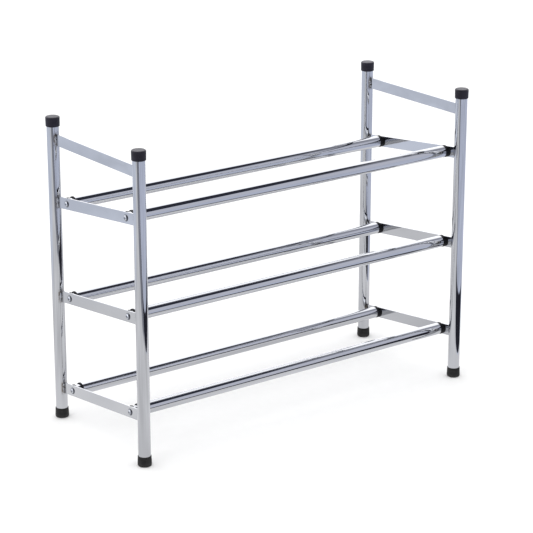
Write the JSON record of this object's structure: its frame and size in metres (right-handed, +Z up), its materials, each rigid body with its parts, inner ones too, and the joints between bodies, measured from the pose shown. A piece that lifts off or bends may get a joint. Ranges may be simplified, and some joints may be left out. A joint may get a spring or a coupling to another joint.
{
  "type": "tiered shoe rack",
  "caption": "Free-standing tiered shoe rack of chromed tube: two end frames joined by telescopic rails, front rails higher, with black caps and rubber feet.",
  "frame": {"origin": "on the floor, midway between the four feet with the rack pushed together", "axes": "+X to the right along the rails and the way the right frame pulls out, -Y the front with the higher rails, +Z up"},
  "size_m": [0.629, 0.257, 0.485],
  "materials": {
    "chrome_post": "polished chrome plate on round tube",
    "chrome_rail": "polished chrome plate on round tube",
    "chrome_strip": "polished chrome plate on flat strip",
    "screw_steel": "bright zinc plated",
    "cap_plastic": "satin moulded",
    "rail_plastic": "satin moulded",
    "foot_rubber": "matte moulded"
  },
  "bodies": {
    "left_frame": {"post_left_front": "chrome_post", "post_cap_left_front": "cap_plastic", "foot_left_front": "foot_rubber", "post_left_back": "chrome_post", "post_cap_left_back": "cap_plastic", "foot_left_back": "foot_rubber", "top_bar_left": "chrome_strip", "tier_1_bar_left": "chrome_strip", "tier_2_bar_left": "chrome_strip", "tier_3_bar_left": "chrome_strip", "rail_screws_left": "screw_steel", "tier_1_front_inner_plug": "rail_plastic", "tier_1_front_inner_tube": "chrome_rail", "tier_1_front_inner_glide": "rail_plastic", "tier_1_back_inner_plug": "rail_plastic", "tier_1_back_inner_tube": "chrome_rail", "tier_1_back_inner_glide": "rail_plastic", "tier_2_front_inner_plug": "rail_plastic", "tier_2_front_inner_tube": "chrome_rail", "tier_2_front_inner_glide": "rail_plastic", "tier_2_back_inner_plug": "rail_plastic", "tier_2_back_inner_tube": "chrome_rail", "tier_2_back_inner_glide": "rail_plastic", "tier_3_front_inner_plug": "rail_plastic", "tier_3_front_inner_tube": "chrome_rail", "tier_3_front_inner_glide": "rail_plastic", "tier_3_back_inner_plug": "rail_plastic", "tier_3_back_inner_tube": "chrome_rail", "tier_3_back_inner_glide": "rail_plastic"},
    "right_frame": {"post_right_front": "chrome_post", "post_cap_right_front": "cap_plastic", "foot_right_front": "foot_rubber", "post_right_back": "chrome_post", "post_cap_right_back": "cap_plastic", "foot_right_back": "foot_rubber", "top_bar_right": "chrome_strip", "tier_1_bar_right": "chrome_strip", "tier_2_bar_right": "chrome_strip", "tier_3_bar_right": "chrome_strip", "rail_screws_right": "screw_steel", "tier_1_front_guide_ring": "rail_plastic", "tier_1_front_outer_tube": "chrome_rail", "tier_1_front_outer_plug": "rail_plastic", "tier_1_back_guide_ring": "rail_plastic", "tier_1_back_outer_tube": "chrome_rail", "tier_1_back_outer_plug": "rail_plastic", "tier_2_front_guide_ring": "rail_plastic", "tier_2_front_outer_tube": "chrome_rail", "tier_2_front_outer_plug": "rail_plastic", "tier_2_back_guide_ring": "rail_plastic", "tier_2_back_outer_tube": "chrome_rail", "tier_2_back_outer_plug": "rail_plastic", "tier_3_front_guide_ring": "rail_plastic", "tier_3_front_outer_tube": "chrome_rail", "tier_3_front_outer_plug": "rail_plastic", "tier_3_back_guide_ring": "rail_plastic", "tier_3_back_outer_tube": "chrome_rail", "tier_3_back_outer_plug": "rail_plastic"}
  },
  "joints": [
    {"name": "width_slide", "type": "slide", "parent": "left_frame", "child": "right_frame", "axis": [1, 0, 0], "range_m": [-0.0025, 0.52]}
  ]
}
